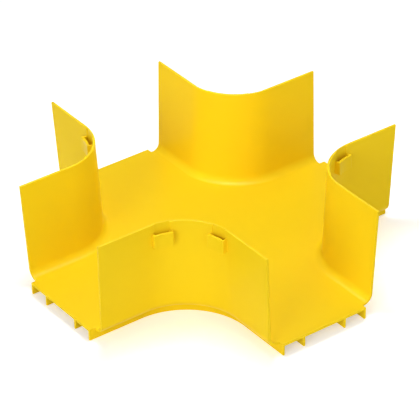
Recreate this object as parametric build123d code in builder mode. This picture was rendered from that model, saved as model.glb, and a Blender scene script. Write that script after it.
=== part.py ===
"""Four-way cross of an open-top fibre raceway: one injection-moulded piece, in millimetres.

The origin is at the middle of the cross, on the plane that its ribs rest on, with +Z up.
The four mouths face +X, -X, +Y and -Y.
"""
import os
from math import cos, radians, tan

from build123d import *

# Section of the channel
floor_width = 117.0  # between the two walls, at the floor
floor_thickness = 2.5
wall_height = 100.0  # from the floor to the rim
wall_thickness = 2.5
wall_lean = 2.75  # degrees that each wall leans out as it rises
floor_fillet = 8.0  # inside radius between floor and wall
rim_round = 0.8  # radius on both edges of the rim

# Plan of the cross
corner_radius = 60.0  # inside face of a corner wall, at the floor
straight_length = 59.0  # from the end of a corner's arc to the end of the floor
wall_setback = 6.0  # from the end of the floor back to the end of the wall, at the floor
end_lean = 1.75  # degrees that each wall's end leans out as it rises

# Ribs under the floor
rib_depth = 10.0
rib_thickness = 2.4  # at the floor
rib_draft = 1.2  # degrees on each side of a rib
inner_rib_offset = 24.0  # from the middle of the channel to the middle of the rib
outer_rib_offset = 48.0

# Cover-latch loops on the outside of each corner's arc
loop_angle = 14.5  # degrees from the end of the arc to the middle of the loop
loop_drop = 9.5  # from the rim down to the loop
loop_height = 14.0
loop_side = 1.9  # thickness of the loop's two sides
loop_round = 1.0  # radius on the loop's outer corners
strap_thickness = 2.5
slot_width = 15.4
slot_gap = 3.8  # between the wall and the loop's strap
slot_foot = 2.0  # height above the loop's underside where the slot's back runs into the wall

overshoot = 1.0  # how far a cut runs past the rim

# Heights above the resting plane
floor_underside = rib_depth
floor_middle = floor_underside + floor_thickness / 2
floor_top = floor_underside + floor_thickness
rim = floor_top + wall_height
loop_top = rim - loop_drop
loop_underside = loop_top - loop_height

# Places measured from the middle of the cross, at the floor
half_floor = floor_width / 2
arc_centre = half_floor + corner_radius
reach = arc_centre + straight_length
wall_end = reach - wall_setback
skirt_face = outer_rib_offset + rib_thickness / 2

# The lean of the walls and of their ends, as run over rise, and a wall's thickness measured level
wall_slope = tan(radians(wall_lean))
end_slope = tan(radians(end_lean))
wall_across = wall_thickness / cos(radians(wall_lean))


def outer_wall_radius(height):
    """Plan radius of a corner wall's outer face at a height above the resting plane."""
    return corner_radius - wall_across - (height - floor_top) * wall_slope


def rib_outline(offset):
    """Corners of one rib's tapered section, from the resting plane up into the floor."""
    half_root = rib_thickness / 2
    half_tip = half_root - rib_depth * tan(radians(rib_draft))
    return [
        (offset - half_root, floor_middle),
        (offset - half_root, floor_underside),
        (offset - half_tip, 0),
        (offset + half_tip, 0),
        (offset + half_root, floor_underside),
        (offset + half_root, floor_middle),
    ]


# The +Y mouth: a sketch here has X across the channel and Y up
mouth_plane = Plane.XZ.offset(-reach)

# The corner between the +Y and +X mouths, along the foot of its wall
with BuildLine() as corner_path:
    Line((half_floor, reach), (half_floor, arc_centre))
    RadiusArc((half_floor, arc_centre), (arc_centre, half_floor), -corner_radius)
    Line((arc_centre, half_floor), (reach, half_floor))

# One corner wall
with BuildPart() as corner_wall:
    # The leaning wall and its fillet into the floor, swept round the corner
    with BuildSketch(mouth_plane) as wall_section:
        with BuildLine():
            inside = FilletPolyline(
                (inner_rib_offset, floor_top),
                (half_floor, floor_top),
                (half_floor + wall_height * wall_slope, rim),
                radius=floor_fillet,
            )
            outside = FilletPolyline(
                (inner_rib_offset, floor_underside),
                (half_floor + wall_across - floor_thickness * wall_slope, floor_underside),
                (half_floor + wall_across + wall_height * wall_slope, rim),
                radius=floor_fillet + wall_thickness,
            )
            Line(inside @ 0, outside @ 0)
            Line(inside @ 1, outside @ 1)
        make_face()
        fillet(wall_section.vertices().group_by(Axis.Y)[-1], radius=min(rim_round, 0.4 * wall_thickness))
    sweep(path=corner_path.line)

    # Its two ends, cut to their lean
    for x, y in ((0, 1), (1, 0)):
        end_plane = Plane((x * wall_end, y * wall_end, floor_top), z_dir=(x, y, -end_slope))
        split(bisect_by=end_plane, keep=Keep.BOTTOM)

    # Two latch loops, curved with the wall
    slot_back = outer_wall_radius(loop_underside + slot_foot)
    slot_front = slot_back - slot_gap
    strap_face = slot_front - strap_thickness
    loop_root = slot_back + wall_thickness / 2
    loop_blank = 4 * (loop_root - strap_face)
    loop_places = PolarLocations(slot_front, 2, 180 + loop_angle, 90 - 2 * loop_angle, endpoint=True)
    with BuildSketch(Plane((arc_centre, arc_centre, loop_underside))) as loop_plan:
        with loop_places:
            Rectangle(loop_blank, slot_width + 2 * loop_side)
        Circle(loop_root, mode=Mode.INTERSECT)
        Circle(strap_face, mode=Mode.SUBTRACT)
        fillet(loop_plan.vertices().sort_by_distance((0, 0))[:4], radius=loop_round)
    extrude(amount=loop_height)

    # The slot behind each strap, open at the rim, so that it also sinks a recess into the wall above
    with BuildSketch(Plane((arc_centre, arc_centre, loop_underside))):
        with loop_places:
            Rectangle(loop_blank, slot_width)
        Circle(slot_back, mode=Mode.INTERSECT)
        Circle(slot_front, mode=Mode.SUBTRACT)
    extrude(amount=rim + overshoot - loop_underside, mode=Mode.SUBTRACT)

# The ribs of one corner: a skirt that follows its wall, and one straight rib right across the cross
with BuildPart() as corner_ribs:
    with BuildSketch(mouth_plane):
        Polygon(*rib_outline(outer_rib_offset), align=None)
    sweep(path=corner_path.line)
    with BuildSketch(mouth_plane):
        Polygon(*rib_outline(inner_rib_offset), align=None)
    extrude(amount=2 * reach)

# The whole moulding: the floor, then the walls and ribs of its four corners
with BuildPart() as cross_body:
    with BuildSketch(Plane.XY.offset(floor_underside)) as floor_plan:
        Rectangle(2 * reach, 2 * skirt_face)
        Rectangle(2 * skirt_face, 2 * reach)
        fillet(floor_plan.vertices().sort_by_distance((0, 0))[:4], radius=arc_centre - skirt_face)
    extrude(amount=floor_thickness)
    with PolarLocations(0, 4):
        add(corner_wall.part)
        add(corner_ribs.part)

os.makedirs("parts", exist_ok=True)
cross_body.part.label = "cross_body"
export_step(cross_body.part, "parts/cross_body.step")
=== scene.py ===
"""Studio scene for a four-way cross of open-top fibre raceway: one yellow moulding on white paper.

Sizes are written in millimetres, as on the part's drawing, and turned to metres where a tree takes them in.
The moulding's shapes follow rules: a wall section that runs round a corner, ribs that repeat under the
floor, and latch loops that repeat round the four corners. Geometry Nodes trees make them.
"""

import logging
from dataclasses import dataclass
from enum import Enum
from math import cos, pi, radians, sin, tan
from typing import Any, Sequence

import bmesh
import bpy
from mathutils import Matrix, Vector


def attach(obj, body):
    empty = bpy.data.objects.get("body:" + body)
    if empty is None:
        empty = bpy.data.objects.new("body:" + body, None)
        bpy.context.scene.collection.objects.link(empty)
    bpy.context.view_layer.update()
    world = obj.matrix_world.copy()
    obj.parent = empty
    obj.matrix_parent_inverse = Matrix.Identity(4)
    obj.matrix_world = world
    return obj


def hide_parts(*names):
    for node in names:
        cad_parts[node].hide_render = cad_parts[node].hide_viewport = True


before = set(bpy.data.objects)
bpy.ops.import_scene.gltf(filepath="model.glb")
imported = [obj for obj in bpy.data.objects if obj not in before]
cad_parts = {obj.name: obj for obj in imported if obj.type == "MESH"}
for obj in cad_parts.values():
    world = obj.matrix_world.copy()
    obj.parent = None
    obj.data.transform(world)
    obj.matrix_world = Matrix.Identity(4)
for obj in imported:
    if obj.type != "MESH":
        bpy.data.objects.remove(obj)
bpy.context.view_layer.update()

MM = 0.001
CORNERS = 4
PAIR = 2
HALF_TURN = pi
QUARTER_TURN = pi / 2
SHARP = -1  # stands for the number of a radius where a corner is not rounded
BODY = "root"
NODE = "cross_body"

Socket = bpy.types.NodeSocket
log = logging.getLogger("raceway_cross")


class Blend(Enum):
    """How a boolean node puts solids together."""

    JOIN = "UNION"
    CUT = "DIFFERENCE"
    TRIM = "INTERSECT"

    @property
    def settings(self) -> dict[str, str]:
        """The boolean node's own settings, with the solver that keeps closed solids closed."""
        return {"operation": self.value, "solver": "MANIFOLD"}


def linear(hex_colour: str) -> tuple[float, float, float, float]:
    """Turns an sRGB hex colour into linear RGBA.

    Args:
        hex_colour: Six hex digits after a hash sign.

    Returns:
        Linear red, green and blue, with an alpha of 1.
    """
    channels = [int(hex_colour[i:i + 2], 16) / 255 for i in (1, 3, 5)]
    red, green, blue = (c / 12.92 if c <= 0.04045 else ((c + 0.055) / 1.055) ** 2.4 for c in channels)
    return red, green, blue, 1.0


def add_node(tree: bpy.types.NodeTree, kind: str, inputs: dict[Any, Any] | None = None,
             **settings: Any) -> bpy.types.Node:
    """Adds one node to a tree, with its settings, its socket values and its links.

    Args:
        tree: The shader or geometry tree.
        kind: The node's type name.
        inputs: Socket name or number to a value, a socket to link from, or a list of sockets.
        settings: Properties of the node itself.

    Returns:
        The new node.
    """
    node = tree.nodes.new(kind)
    for name, value in settings.items():
        setattr(node, name, value)
    for key, value in (inputs or {}).items():
        sources = value if isinstance(value, list) else [value]
        for source in sources:
            if isinstance(source, Socket):
                tree.links.new(source, node.inputs[key])
            else:
                node.inputs[key].default_value = source
    return node


class SizedTree:
    """A Geometry Nodes tree whose sizes are named inputs, and which is turned into a plain mesh once."""

    def __init__(self, name: str) -> None:
        """Starts an empty tree.

        Args:
            name: What the tree makes.
        """
        self.tree = bpy.data.node_groups.new(name, "GeometryNodeTree")
        self.tree.interface.new_socket("Geometry", in_out="OUTPUT", socket_type="NodeSocketGeometry")
        self.entry = self.tree.nodes.new("NodeGroupInput")
        self.values: dict[str, Any] = {}

    def size(self, name: str, value: Any) -> Socket:
        """Adds a named input.

        Args:
            name: The input's name.
            value: A number, a whole number, a point in metres or an object.

        Returns:
            The socket that carries the input inside the tree.
        """
        if isinstance(value, bpy.types.Object):
            kind = "NodeSocketObject"
        elif isinstance(value, tuple):
            kind = "NodeSocketVector"
        else:
            kind = "NodeSocketInt" if isinstance(value, int) else "NodeSocketFloat"
        item = self.tree.interface.new_socket(name, in_out="INPUT", socket_type=kind)
        self.values[item.identifier] = value
        return next(socket for socket in self.entry.outputs if socket.identifier == item.identifier)

    def length(self, name: str, millimetres: float) -> Socket:
        """Adds a named input for a length in millimetres."""
        return self.size(name, millimetres * MM)

    def point(self, name: str, x: float, y: float, z: float) -> Socket:
        """Adds a named input for a point in millimetres."""
        return self.size(name, (x * MM, y * MM, z * MM))

    def add(self, kind: str, inputs: dict[Any, Any] | None = None, **settings: Any) -> Socket:
        """Adds one node and gives its first output socket."""
        return add_node(self.tree, kind, inputs, **settings).outputs[0]

    def place(self) -> dict[str, Socket]:
        """Reads where each point of a shape is.

        Returns:
            The sockets of its X, Y and Z.
        """
        position = self.add("GeometryNodeInputPosition")
        parts = add_node(self.tree, "ShaderNodeSeparateXYZ", {"Vector": position})
        return {axis: parts.outputs[axis] for axis in "XYZ"}

    def pick(self, choices: Sequence[Socket], kind: str) -> Socket:
        """Gives each point of a curve one of several values, by the point's number.

        Args:
            choices: One socket for each point, in order.
            kind: The data type, FLOAT or VECTOR.

        Returns:
            The socket with the chosen value.
        """
        node = add_node(self.tree, "GeometryNodeIndexSwitch", data_type=kind)
        # The node starts with two choices
        for _ in choices[2:]:
            node.index_switch_items.new()
        self.tree.links.new(self.add("GeometryNodeInputIndex"), node.inputs[0])
        for number, choice in enumerate(choices):
            self.tree.links.new(choice, node.inputs[number + 1])
        return node.outputs[0]

    def outline(self, name: str, corners: Sequence[tuple[float, float, int]], radii: Sequence[float] = (),
                steps: int = 1, closed: bool = True) -> Socket:
        """Draws a line through corners, each rounded to its own radius. Lengths in millimetres.

        Args:
            name: What the line is, for the names of its inputs.
            corners: The corners in order, as x, y and the number of its radius in radii, or SHARP.
            radii: The radii that the corners use.
            steps: Straight pieces in each rounded corner.
            closed: Whether the last corner joins the first.

        Returns:
            The curve's socket.
        """
        points = [self.point(f"{name} Corner {n + 1}", x, y, 0.0) for n, (x, y, _) in enumerate(corners)]
        rounds = [self.length(f"{name} Radius {n + 1}", radius) for n, radius in enumerate(radii)]
        sharp = self.length(f"{name} Sharp", 0.0)
        chosen = [sharp if number == SHARP else rounds[number] for _, _, number in corners]
        cloud = self.add("GeometryNodePoints", {"Count": len(corners)})
        curve = self.add("GeometryNodePointsToCurves", {"Points": cloud})
        curve = self.add("GeometryNodeSetSplineCyclic", {"Geometry": curve, "Cyclic": closed})
        curve = self.add("GeometryNodeSetPosition", {
            "Geometry": curve,
            "Position": self.pick(points, "VECTOR"),
        })
        return self.add("GeometryNodeFilletCurve", {
            "Curve": curve,
            "Count": steps,
            "Radius": self.pick(chosen, "FLOAT"),
        }, mode="POLY")

    def sweep(self, path: Socket, section: Socket) -> Socket:
        """Runs a closed section along a path that stays level, and caps both ends.

        Args:
            path: The path's curve.
            section: The section's curve, drawn flat: X across the path, Y up.

        Returns:
            The closed solid's socket.
        """
        level = self.add("GeometryNodeSetCurveNormal", {"Curve": path}, mode="Z_UP")
        # Seen along the path, a swept section is upside down until it is turned by half a turn
        upright = self.add("GeometryNodeTransform", {"Geometry": section, "Rotation": (0.0, 0.0, HALF_TURN)})
        return self.add("GeometryNodeCurveToMesh", {
            "Curve": level,
            "Profile Curve": upright,
            "Fill Caps": True,
        })

    def rise(self, name: str, section: Socket, low: float, high: float) -> Socket:
        """Runs a closed plan outline straight up between two heights.

        Args:
            name: What rises, for the names of its inputs.
            section: The plan outline's curve.
            low: Height of its foot in millimetres.
            high: Height of its top in millimetres.

        Returns:
            The closed solid's socket.
        """
        path = self.add("GeometryNodeCurvePrimitiveLine", {
            "Start": self.point(f"{name} Foot", 0.0, 0.0, low),
            "End": self.point(f"{name} Top", 0.0, 0.0, high),
        })
        return self.add("GeometryNodeCurveToMesh", {
            "Curve": path,
            "Profile Curve": section,
            "Fill Caps": True,
        })

    def turned(self, name: str, geometry: Socket, count: int, step: float) -> Socket:
        """Repeats a shape round the upright axis.

        Args:
            name: What is repeated, for the names of its inputs.
            geometry: The shape's socket.
            count: How many there are in all.
            step: Angle from each to the next, in radians.

        Returns:
            The socket with all the copies.
        """
        places = self.add("GeometryNodePoints", {"Count": self.size(f"{name} Count", count)})
        turn = self.add("ShaderNodeMath", {
            0: self.add("GeometryNodeInputIndex"),
            1: self.size(f"{name} Step", step),
        }, operation="MULTIPLY")
        copies = self.add("GeometryNodeInstanceOnPoints", {
            "Points": places,
            "Instance": geometry,
            "Rotation": self.add("ShaderNodeCombineXYZ", {"Z": turn}),
        })
        return self.add("GeometryNodeRealizeInstances", {"Geometry": copies})

    def bake(self, name: str, geometry: Socket, material: bpy.types.Material) -> bpy.types.Object:
        """Ends the tree, runs it once and keeps the result as a plain mesh.

        Args:
            name: Name of the new object.
            geometry: The finished shape's socket.
            material: The material of every face.

        Returns:
            An object at the origin with a plain mesh and no modifier.
        """
        solid = self.add("GeometryNodeRealizeInstances", {"Geometry": geometry})
        dressed = self.add("GeometryNodeSetMaterial", {"Geometry": solid, "Material": material})
        add_node(self.tree, "NodeGroupOutput", {"Geometry": dressed})
        piece = bpy.data.objects.new(name, bpy.data.meshes.new(name))
        bpy.context.scene.collection.objects.link(piece)
        modifier = piece.modifiers.new(self.tree.name, "NODES")
        modifier.node_group = self.tree
        for identifier, value in self.values.items():
            modifier[identifier] = value
        evaluated = piece.evaluated_get(bpy.context.evaluated_depsgraph_get())
        mesh = bpy.data.meshes.new_from_object(evaluated)
        piece.modifiers.remove(modifier)
        piece.data = mesh
        mesh.name = name
        return piece


@dataclass(frozen=True)
class MouldedPlastic:
    """Yellow ABS, injection moulded in a finely spark-eroded tool. Lengths in millimetres.

    The eye sees a deep warm yellow with a low, even sheen: a soft light band on each fillet, a brighter line
    along each rounded rim, and faint cloudy changes of tone and gloss where the melt flowed.
    """

    name: str = "moulded_abs"
    colour: str = "#F9D61F"
    shade: str = "#F5D21B"
    ior: float = 1.53
    gloss: float = 0.03  # what the grain leaves of a smooth face's mirror reflection, which would be 0.5
    roughness: tuple[float, float] = (0.28, 0.35)
    cloud_size: float = 45.0
    cloud_detail: float = 3.0
    cloud_roughness: float = 0.55
    cloud_range: tuple[float, float] = (0.3, 0.7)  # the part of the clouds' noise that the gloss follows
    grain_size: float = 0.5
    grain_detail: float = 2.0
    grain_depth: float = 0.012
    grain_strength: float = 0.35

    def build(self) -> bpy.types.Material:
        """Makes the material and its nodes.

        Returns:
            The plastic.
        """
        material = bpy.data.materials.new(self.name)
        material.use_nodes = True
        tree = material.node_tree
        shader = tree.nodes["Principled BSDF"]
        shader.inputs["IOR"].default_value = self.ior
        shader.inputs["Specular IOR Level"].default_value = self.gloss
        place = add_node(tree, "ShaderNodeTexCoord").outputs["Object"]

        # Flow clouds: a slow change of tone and gloss over a few centimetres
        cloud = add_node(tree, "ShaderNodeTexNoise", {
            "Vector": place,
            "Scale": 1 / (self.cloud_size * MM),
            "Detail": self.cloud_detail,
            "Roughness": self.cloud_roughness,
        }).outputs["Fac"]
        tone = add_node(tree, "ShaderNodeMix", {
            "Factor": cloud,
            "A": linear(self.colour),
            "B": linear(self.shade),
        }, data_type="RGBA")
        tree.links.new(tone.outputs["Result"], shader.inputs["Base Color"])
        sheen = add_node(tree, "ShaderNodeMapRange", {
            "Value": cloud,
            "From Min": self.cloud_range[0],
            "From Max": self.cloud_range[1],
            "To Min": self.roughness[0],
            "To Max": self.roughness[1],
        })
        tree.links.new(sheen.outputs["Result"], shader.inputs["Roughness"])

        # Spark-eroded grain is about 0.05 mm; it is drawn ten times as coarse, so that it shows
        grain = add_node(tree, "ShaderNodeTexNoise", {
            "Vector": place,
            "Scale": 1 / (self.grain_size * MM),
            "Detail": self.grain_detail,
        }).outputs["Fac"]
        bump = add_node(tree, "ShaderNodeBump", {
            "Height": grain,
            "Strength": self.grain_strength,
            "Distance": self.grain_depth * MM,
        })
        tree.links.new(bump.outputs["Normal"], shader.inputs["Normal"])
        return material


@dataclass(frozen=True)
class Channel:
    """The raceway's own sizes, which the walls, the floor and the loops share. Millimetres and degrees."""

    floor_width: float = 117.0  # between the two walls, at the floor
    floor_thickness: float = 2.5
    wall_height: float = 100.0  # from the floor to the rim
    wall_thickness: float = 2.5
    wall_lean: float = 2.75  # how far a wall leans out as it rises
    corner_radius: float = 60.0  # inside face of a corner wall, at the floor
    straight_length: float = 59.0  # from the end of a corner's arc to the end of the floor
    rib_depth: float = 10.0

    @property
    def floor_top(self) -> float:
        """Height of the floor above the resting plane."""
        return self.rib_depth + self.floor_thickness

    @property
    def rim(self) -> float:
        """Height of the walls' upper edge."""
        return self.floor_top + self.wall_height

    @property
    def half_floor(self) -> float:
        """From the middle of the channel to the foot of a wall."""
        return self.floor_width / 2

    @property
    def arc_centre(self) -> float:
        """Place of a corner's centre along X and along Y."""
        return self.half_floor + self.corner_radius

    @property
    def reach(self) -> float:
        """From the middle of the cross to the end of the floor."""
        return self.arc_centre + self.straight_length

    @property
    def slope(self) -> float:
        """Run over rise of a leaning wall."""
        return tan(radians(self.wall_lean))

    @property
    def wall_across(self) -> float:
        """Thickness of a wall, measured level."""
        return self.wall_thickness / cos(radians(self.wall_lean))

    def outer_radius(self, height: float) -> float:
        """Plan radius of a corner wall's outer face at a height above the resting plane."""
        return self.corner_radius - self.wall_across - (height - self.floor_top) * self.slope


@dataclass(frozen=True)
class CornerWalls:
    """Four leaning corner walls, each with a fillet from the floor into the wall. Millimetres and degrees."""

    channel: Channel
    floor_fillet: float = 8.0  # inside radius between floor and wall
    rim_round: float = 0.8
    wall_setback: float = 6.0  # from the end of the floor back to the end of the wall
    end_lean: float = 1.75  # how far a wall's end leans out as it rises
    floor_strip: float = 12.0  # floor that is swept with the wall, up to where the flat floor takes over
    arc_steps: int = 48
    fillet_steps: int = 10

    def build(self, material: bpy.types.Material) -> bpy.types.Object:
        """Sweeps the wall section round one corner, leans its two ends and repeats it four times.

        Args:
            material: The plastic.

        Returns:
            An object with four closed solids.
        """
        channel = self.channel
        tree = SizedTree("corner_walls")
        foot = channel.half_floor
        end = channel.reach - self.wall_setback
        bend = [(foot, end, SHARP), (foot, foot, 0), (end, foot, SHARP)]
        path = tree.outline("Wall Path", bend, [channel.corner_radius], self.arc_steps, closed=False)
        lean = channel.wall_height * channel.slope
        radii = [self.floor_fillet, self.floor_fillet + channel.wall_thickness, self.rim_round]
        inside, outside, edge = range(len(radii))
        corners = [
            (-self.floor_strip, channel.rib_depth, SHARP),
            (channel.wall_across - channel.floor_thickness * channel.slope, channel.rib_depth, outside),
            (channel.wall_across + lean, channel.rim, edge),
            (lean, channel.rim, edge),
            (0.0, channel.floor_top, inside),
            (-self.floor_strip, channel.floor_top, SHARP),
        ]
        section = tree.outline("Wall Section", corners, radii, self.fillet_steps)
        wall = self.lean_ends(tree, tree.sweep(path, section))
        return tree.bake("corner_walls", tree.turned("Corner", wall, CORNERS, QUARTER_TURN), material)

    def lean_ends(self, tree: SizedTree, wall: Socket) -> Socket:
        """Leans the wall's two ends out as they rise.

        Args:
            tree: The tree that holds the wall.
            wall: The swept wall with upright ends.

        Returns:
            The wall with leaning ends.
        """
        channel = self.channel
        place = tree.place()
        # The ends' points are the only ones past the arc, so any limit between the two tells them apart
        past_arc = tree.length("Past Arc", channel.arc_centre + channel.straight_length / 2)
        height = tree.add("ShaderNodeMath", {
            0: place["Z"],
            1: tree.length("Floor Top", channel.floor_top),
        }, operation="SUBTRACT")
        run = tree.add("ShaderNodeMath", {
            0: height,
            1: tree.size("End Slope", tan(radians(self.end_lean))),
        }, operation="MULTIPLY")
        shifts = {}
        for axis in "XY":
            at_end = tree.add("ShaderNodeMath", {0: place[axis], 1: past_arc}, operation="GREATER_THAN")
            shifts[axis] = tree.add("ShaderNodeMath", {0: run, 1: at_end}, operation="MULTIPLY")
        offset = tree.add("ShaderNodeCombineXYZ", shifts)
        return tree.add("GeometryNodeSetPosition", {"Geometry": wall, "Offset": offset})


@dataclass(frozen=True)
class FloorPan:
    """The flat floor, its straight ribs and the skirt along each corner wall. Millimetres and degrees."""

    channel: Channel
    rib_thickness: float = 2.4  # at the floor
    rib_draft: float = 1.2  # on each side of a rib
    inner_rib_offset: float = 24.0  # from the middle of the channel to the middle of the rib
    outer_rib_offset: float = 48.0
    overrun: float = 2.0  # what is built past the mouths and then trimmed flush
    arc_steps: int = 48

    def rib_section(self, tree: SizedTree, name: str) -> Socket:
        """Draws a rib's tapered section, from the resting plane up into the floor.

        Args:
            tree: The tree that the rib is part of.
            name: Which rib it is.

        Returns:
            The closed section's curve, centred on the path that it will follow.
        """
        channel = self.channel
        root = self.rib_thickness / 2
        tip = root - channel.rib_depth * tan(radians(self.rib_draft))
        middle = channel.rib_depth + channel.floor_thickness / 2
        corners = [
            (-root, middle, SHARP),
            (-root, channel.rib_depth, SHARP),
            (-tip, 0.0, SHARP),
            (tip, 0.0, SHARP),
            (root, channel.rib_depth, SHARP),
            (root, middle, SHARP),
        ]
        return tree.outline(name, corners)

    def plate(self, tree: SizedTree, far: float) -> Socket:
        """Makes the flat floor: four arms with rounded inner corners.

        Args:
            tree: The tree that the floor is part of.
            far: From the middle of the cross to the end of an arm.

        Returns:
            The closed solid's socket.
        """
        channel = self.channel
        edge = self.outer_rib_offset + self.rib_thickness / 2
        arm = [(edge, far, SHARP), (-edge, far, SHARP), (-edge, edge, 0)]
        plan = []
        for quarter in range(CORNERS):
            c, s = cos(quarter * QUARTER_TURN), sin(quarter * QUARTER_TURN)
            plan += [(x * c - y * s, x * s + y * c, number) for x, y, number in arm]
        outline = tree.outline("Floor Plan", plan, [channel.arc_centre - edge], self.arc_steps)
        return tree.rise("Floor", outline, channel.rib_depth, channel.floor_top)

    def build(self, material: bpy.types.Material) -> bpy.types.Object:
        """Joins the floor, the skirts and the crossing ribs, and trims them flush at the mouths.

        Args:
            material: The plastic.

        Returns:
            An object with one closed solid.
        """
        channel = self.channel
        tree = SizedTree("floor_pan")
        far = channel.reach + self.overrun
        near = self.outer_rib_offset
        bend = [(near, far, SHARP), (near, near, 0), (far, near, SHARP)]
        path = tree.outline("Skirt Path", bend, [channel.arc_centre - near], self.arc_steps, closed=False)
        skirt = tree.sweep(path, self.rib_section(tree, "Skirt"))
        skirts = tree.turned("Skirt", skirt, CORNERS, QUARTER_TURN)
        path = tree.add("GeometryNodeCurvePrimitiveLine", {
            "Start": tree.point("Rib Start", self.inner_rib_offset, far, 0.0),
            "End": tree.point("Rib End", self.inner_rib_offset, -far, 0.0),
        })
        ribs = tree.turned("Rib", tree.sweep(path, self.rib_section(tree, "Rib")), PAIR, HALF_TURN)
        crossing = tree.add("GeometryNodeTransform", {"Geometry": ribs, "Rotation": (0.0, 0.0, QUARTER_TURN)})
        solids = [self.plate(tree, far), skirts, ribs, crossing]
        pan = tree.add("GeometryNodeMeshBoolean", {"Mesh 2": solids}, **Blend.JOIN.settings)
        across = 2 * channel.reach
        trim = tree.add("GeometryNodeMeshCube", {"Size": tree.point("Trim", across, across, across)})
        pan = tree.add("GeometryNodeMeshBoolean", {"Mesh 2": [pan, trim]}, **Blend.TRIM.settings)
        return tree.bake("floor_pan", pan, material)


@dataclass(frozen=True)
class LatchLoops:
    """Two loops on each corner wall for the cover's latches, with a recess above. Millimetres and degrees."""

    channel: Channel
    angle: float = 14.5  # from the end of the arc to the middle of the loop
    drop: float = 9.5  # from the rim down to the loop
    height: float = 14.0
    side: float = 1.9  # thickness of the loop's two sides
    corner_round: float = 1.0
    strap_thickness: float = 2.5
    slot_width: float = 15.4
    slot_gap: float = 3.8  # between the wall and the loop's strap
    slot_foot: float = 2.0  # height above the underside where the slot's back runs into the wall
    overrun: float = 1.0  # how far a cutter runs past what it cuts
    side_cuts: int = 5
    corner_steps: int = 6

    @property
    def underside(self) -> float:
        """Height of the loops' lower face."""
        return self.channel.rim - self.drop - self.height

    @property
    def slot_back(self) -> float:
        """Plan radius of the slot's face on the wall."""
        return self.channel.outer_radius(self.underside + self.slot_foot)

    @property
    def slot_front(self) -> float:
        """Plan radius of the slot's face on the strap."""
        return self.slot_back - self.slot_gap

    def bent(self, tree: SizedTree, solid: Socket) -> Socket:
        """Bends a straight block about the upright axis, each face to the radius that its Y gives.

        Args:
            tree: The tree that the block is part of.
            solid: The block, across the Y axis.

        Returns:
            The bent block's socket.
        """
        place = tree.place()
        across = tree.add("ShaderNodeMath", {0: place["X"], 1: place["X"]}, operation="MULTIPLY")
        radius = tree.add("ShaderNodeMath", {0: place["Y"], 1: place["Y"]}, operation="MULTIPLY")
        depth = tree.add("ShaderNodeMath", {0: radius, 1: across}, operation="SUBTRACT")
        depth = tree.add("ShaderNodeMath", {0: depth}, operation="SQRT")
        moved = tree.add("ShaderNodeCombineXYZ", {"X": place["X"], "Y": depth, "Z": place["Z"]})
        return tree.add("GeometryNodeSetPosition", {"Geometry": solid, "Position": moved})

    def blocks(self, tree: SizedTree, name: str, half: float, radii: tuple[float, float],
               heights: tuple[float, float], corner: float) -> Socket:
        """Makes a block that is bent with the wall, twice on each corner.

        Args:
            tree: The tree that the blocks are part of.
            name: What the block is, for the names of its inputs.
            half: Half of the block's width along the wall.
            radii: Plan radii of its faces away from the wall and towards it.
            heights: Heights of its lower and upper face.
            corner: Radius of its upright edges.

        Returns:
            The socket with eight closed solids.
        """
        front, back = radii
        plan = [(-half, front, SHARP), (half, front, SHARP), (half, back, SHARP), (-half, back, SHARP)]
        outline = tree.outline(f"{name} Plan", plan)
        outline = tree.add("GeometryNodeSubdivideCurve", {"Curve": outline, "Cuts": self.side_cuts})
        if corner > 0:
            outline = tree.add("GeometryNodeFilletCurve", {
                "Curve": outline,
                "Count": self.corner_steps,
                "Radius": tree.length(f"{name} Round", corner),
            }, mode="POLY")
        block = self.bent(tree, tree.rise(name, outline, *heights))
        first = tree.add("GeometryNodeTransform", {
            "Geometry": block,
            "Rotation": (0.0, 0.0, QUARTER_TURN + radians(self.angle)),
        })
        pair = tree.turned(f"{name} Pair", first, PAIR, QUARTER_TURN - 2 * radians(self.angle))
        centre = self.channel.arc_centre
        pair = tree.add("GeometryNodeTransform", {
            "Geometry": pair,
            "Translation": tree.point(f"{name} Centre", centre, centre, 0.0),
        })
        return tree.turned(f"{name} Corner", pair, CORNERS, QUARTER_TURN)

    def build(self, material: bpy.types.Material) -> bpy.types.Object:
        """Makes the eight loops, each a block with a slot right through it, rooted half-way into the wall.

        Args:
            material: The plastic.

        Returns:
            An object with eight closed solids.
        """
        tree = SizedTree("latch_loops")
        root = self.channel.wall_thickness / 2
        top = self.underside + self.height
        loops = self.blocks(tree, "Loop", self.slot_width / 2 + self.side,
                            (self.slot_front - self.strap_thickness, self.slot_back + root),
                            (self.underside, top), self.corner_round)
        slots = self.blocks(tree, "Slot", self.slot_width / 2,
                            (self.slot_front, self.slot_back + root / 2),
                            (self.underside - self.overrun, top + self.overrun), 0.0)
        loops = tree.add("GeometryNodeMeshBoolean", {"Mesh 1": loops, "Mesh 2": slots}, **Blend.CUT.settings)
        return tree.bake("latch_loops", loops, material)

    def build_recesses(self, material: bpy.types.Material) -> bpy.types.Object:
        """Makes the eight cutters that carry each slot's back up to the rim, into the leaning wall.

        Args:
            material: The plastic.

        Returns:
            An object with eight closed solids.
        """
        tree = SizedTree("latch_recesses")
        recesses = self.blocks(tree, "Recess", self.slot_width / 2, (self.slot_front, self.slot_back),
                               (self.underside, self.channel.rim + self.overrun), 0.0)
        return tree.bake("latch_recesses", recesses, material)


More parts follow.
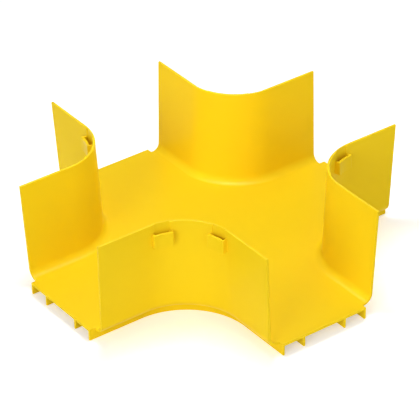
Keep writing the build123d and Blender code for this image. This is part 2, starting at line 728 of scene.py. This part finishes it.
@dataclass(frozen=True)
class Moulding:
    """The whole cross as it leaves the mould: one closed skin with slightly rounded edges."""

    weld: float = 0.004  # millimetres within which two points are one
    flat_angle: float = 0.05  # degrees within which two faces are one
    edge_round: float = 0.2  # millimetres
    edge_angle: float = 32.0  # degrees from which an edge is rounded
    edge_steps: int = 2
    area_weight: int = 100  # how far large faces pull the shading of their edges flat

    def join(self, walls: bpy.types.Object, recesses: bpy.types.Object, pan: bpy.types.Object,
             loops: bpy.types.Object, material: bpy.types.Material) -> bpy.types.Object:
        """Cuts the recesses into the walls and joins walls, floor and loops into one solid.

        Args:
            walls: The four corner walls.
            recesses: The recesses' cutters.
            pan: The floor with its ribs.
            loops: The latch loops.
            material: The plastic.

        Returns:
            The moulding as one object.
        """
        tree = SizedTree("moulding")
        sources = (walls, recesses, pan, loops)
        wall, recess, floor, loop = (
            add_node(tree.tree, "GeometryNodeObjectInfo", {
                "Object": tree.size(source.name, source),
            }).outputs["Geometry"]
            for source in sources
        )
        wall = tree.add("GeometryNodeMeshBoolean", {"Mesh 1": wall, "Mesh 2": recess}, **Blend.CUT.settings)
        body = tree.add("GeometryNodeMeshBoolean", {"Mesh 2": [wall, floor, loop]}, **Blend.JOIN.settings)
        body = tree.add("GeometryNodeMergeByDistance", {
            "Geometry": body,
            "Distance": tree.length("Weld", self.weld),
        })
        piece = tree.bake("cross_moulding", body, material)
        for source in sources:
            bpy.data.objects.remove(source)
        return piece

    def finish(self, piece: bpy.types.Object) -> None:
        """Dissolves the boolean's flat triangles, rounds the sharp edges and smooths the shading.

        Args:
            piece: The joined moulding.
        """
        shape = bmesh.new()
        shape.from_mesh(piece.data)
        bmesh.ops.dissolve_degenerate(shape, dist=self.weld * MM, edges=shape.edges)
        bmesh.ops.dissolve_limit(shape, angle_limit=radians(self.flat_angle), verts=shape.verts,
                                 edges=shape.edges, use_dissolve_boundaries=False)
        for face in shape.faces:
            face.smooth = True
        shape.to_mesh(piece.data)
        shape.free()
        rounding = piece.modifiers.new("edge_round", "BEVEL")
        rounding.width = self.edge_round * MM
        rounding.segments = self.edge_steps
        rounding.limit_method = "ANGLE"
        rounding.angle_limit = radians(self.edge_angle)
        rounding.use_clamp_overlap = False
        shading = piece.modifiers.new("flat_shading", "WEIGHTED_NORMAL")
        shading.weight = self.area_weight


@dataclass(frozen=True)
class Softbox:
    """A square soft lamp that looks at the cross. Places and width in metres, power in watts."""

    name: str
    place: tuple[float, float, float]
    width: float
    power: float
    sheen_only: bool = False  # whether it makes highlights and gives no other light
    target: tuple[float, float, float] = (0.0, 0.0, 0.05)

    def build(self) -> None:
        """Makes the lamp and turns it to its target."""
        light = bpy.data.lights.new(self.name, "AREA")
        light.shape = "SQUARE"
        light.size = self.width
        light.energy = self.power
        lamp = bpy.data.objects.new(self.name, light)
        lamp.visible_diffuse = not self.sheen_only
        aim = Vector(self.target) - Vector(self.place)
        turn = aim.to_track_quat("-Z", "Y").to_matrix().to_4x4()
        lamp.matrix_world = Matrix.Translation(self.place) @ turn
        bpy.context.scene.collection.objects.link(lamp)


@dataclass(frozen=True)
class ProductCamera:
    """A long lens above one corner. Angles in degrees, lengths in millimetres."""

    azimuth: float = 54.31
    elevation: float = 33.094
    roll: float = 1.097
    distance: float = 2815.231
    shift_right: float = 1.825
    shift_up: float = -31.194
    focal_pixels: float = 2897.532  # focal length in pixels of the square frame
    frame_pixels: int = 420
    sensor: float = 36.0

    def build(self, aim_height: float) -> None:
        """Makes the camera and puts it in the scene.

        Args:
            aim_height: Height in millimetres of the point on the cross's axis that the angles turn about.
        """
        turn, tilt, roll = radians(self.azimuth), radians(self.elevation), radians(self.roll)
        back = Vector((sin(turn) * cos(tilt), -cos(turn) * cos(tilt), sin(tilt)))
        level = Vector((cos(turn), sin(turn), 0.0))
        above = back.cross(level)
        right = level * cos(roll) - above * sin(roll)
        up = level * sin(roll) + above * cos(roll)
        aim = Vector((0.0, 0.0, aim_height))
        place = back * self.distance - right * self.shift_right - up * self.shift_up + aim
        lens = bpy.data.cameras.new("product_camera")
        lens.sensor_width = self.sensor
        lens.lens = self.focal_pixels / self.frame_pixels * self.sensor
        camera = bpy.data.objects.new("product_camera", lens)
        axes = Matrix((right, up, back)).transposed().to_4x4()
        camera.matrix_world = Matrix.Translation(place * MM) @ axes
        bpy.context.scene.collection.objects.link(camera)
        bpy.context.scene.camera = camera


@dataclass(frozen=True)
class Studio:
    """White paper under a softbox close above the cross, with weaker fills from the front and the back.

    A wide lamp above draws the light band on the fillets.
    """

    paper_colour: str = "#FFFFFF"
    paper_roughness: float = 0.9
    paper_lift: float = 0.36  # glow that brings the lit paper up to white where it is seen
    paper_width: float = 12.0  # metres
    ambient: float = 0.36
    lamps: tuple[Softbox, ...] = (
        Softbox("top_softbox", (-0.03, -0.03, 0.6), 0.2, 1.54),
        Softbox("top_sheen", (-0.03, -0.03, 0.62), 0.5, 21.0, sheen_only=True),
        Softbox("left_fill", (1.45, -3.4, 1.3), 1.6, 53.0),
        Softbox("right_fill", (3.5, -0.35, 1.3), 1.6, 20.0),
        Softbox("back_fill", (-1.1, 3.2, 1.8), 1.6, 30.0),
    )

    def background_rays(self, tree: bpy.types.NodeTree) -> Socket:
        """Tells rays that show the background, also mirrored or through glass, from rays that only light.

        Args:
            tree: The shader tree of the floor or of the world.

        Returns:
            A socket that is 1 for those rays and 0 for the others.
        """
        rays = add_node(tree, "ShaderNodeLightPath").outputs
        seen = rays["Is Camera Ray"]
        for kind in ("Is Glossy Ray", "Is Transmission Ray"):
            seen = add_node(tree, "ShaderNodeMath", {0: seen, 1: rays[kind]}, operation="MAXIMUM").outputs[0]
        return seen

    def matt_paper(self) -> bpy.types.Material:
        """Makes the paper: matt white that keeps the cross's shadow.

        Returns:
            The paper.
        """
        paper = bpy.data.materials.new("matt_paper")
        paper.use_nodes = True
        tree = paper.node_tree
        shader = tree.nodes["Principled BSDF"]
        shader.inputs["Base Color"].default_value = linear(self.paper_colour)
        shader.inputs["Roughness"].default_value = self.paper_roughness
        shader.inputs["Specular IOR Level"].default_value = 0.0
        shader.inputs["Emission Color"].default_value = linear(self.paper_colour)
        lift = add_node(tree, "ShaderNodeMapRange", {
            "Value": self.background_rays(tree),
            "To Max": self.paper_lift,
        })
        tree.links.new(lift.outputs["Result"], shader.inputs["Emission Strength"])
        return paper

    def lay_floor(self) -> None:
        """Lays the paper under the cross."""
        half = self.paper_width / 2
        corners = [(-half, -half, 0.0), (half, -half, 0.0), (half, half, 0.0), (-half, half, 0.0)]
        sheet = bpy.data.meshes.new("studio_floor")
        sheet.from_pydata(corners, [], [(0, 1, 2, 3)])
        sheet.materials.append(self.matt_paper())
        floor = bpy.data.objects.new("studio_floor", sheet)
        bpy.context.scene.collection.objects.link(floor)

    def surround(self) -> None:
        """Makes the surroundings: white where they are seen, dimmer where they light the cross."""
        world = bpy.data.worlds.new("studio_white")
        world.use_nodes = True
        tree = world.node_tree
        strength = add_node(tree, "ShaderNodeMapRange", {
            "Value": self.background_rays(tree),
            "To Min": self.ambient,
            "To Max": 1.0,
        })
        background = tree.nodes["Background"]
        background.inputs["Color"].default_value = linear(self.paper_colour)
        tree.links.new(strength.outputs["Result"], background.inputs["Strength"])
        bpy.context.scene.world = world

    def build(self) -> None:
        """Makes the floor, the lamps and the white surroundings."""
        self.lay_floor()
        for lamp in self.lamps:
            lamp.build()
        self.surround()
        bpy.context.scene.view_settings.view_transform = "Standard"


def main() -> None:
    """Builds the moulding and the studio, and logs what was made."""
    logging.basicConfig(level=logging.INFO, format="%(name)s: %(message)s")
    plastic = MouldedPlastic().build()
    channel = Channel()
    walls = CornerWalls(channel).build(plastic)
    pan = FloorPan(channel).build(plastic)
    loops = LatchLoops(channel)
    straps = loops.build(plastic)
    recesses = loops.build_recesses(plastic)
    for piece in (walls, pan, straps, recesses):
        log.info("%s: %d faces", piece.name, len(piece.data.polygons))
    moulding = Moulding()
    cross = moulding.join(walls, recesses, pan, straps, plastic)
    moulding.finish(cross)
    log.info("%s: %d faces", cross.name, len(cross.data.polygons))
    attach(cross, BODY)
    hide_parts(NODE)
    Studio().build()
    ProductCamera().build(channel.floor_top)


if __name__ == "__main__":
    main()
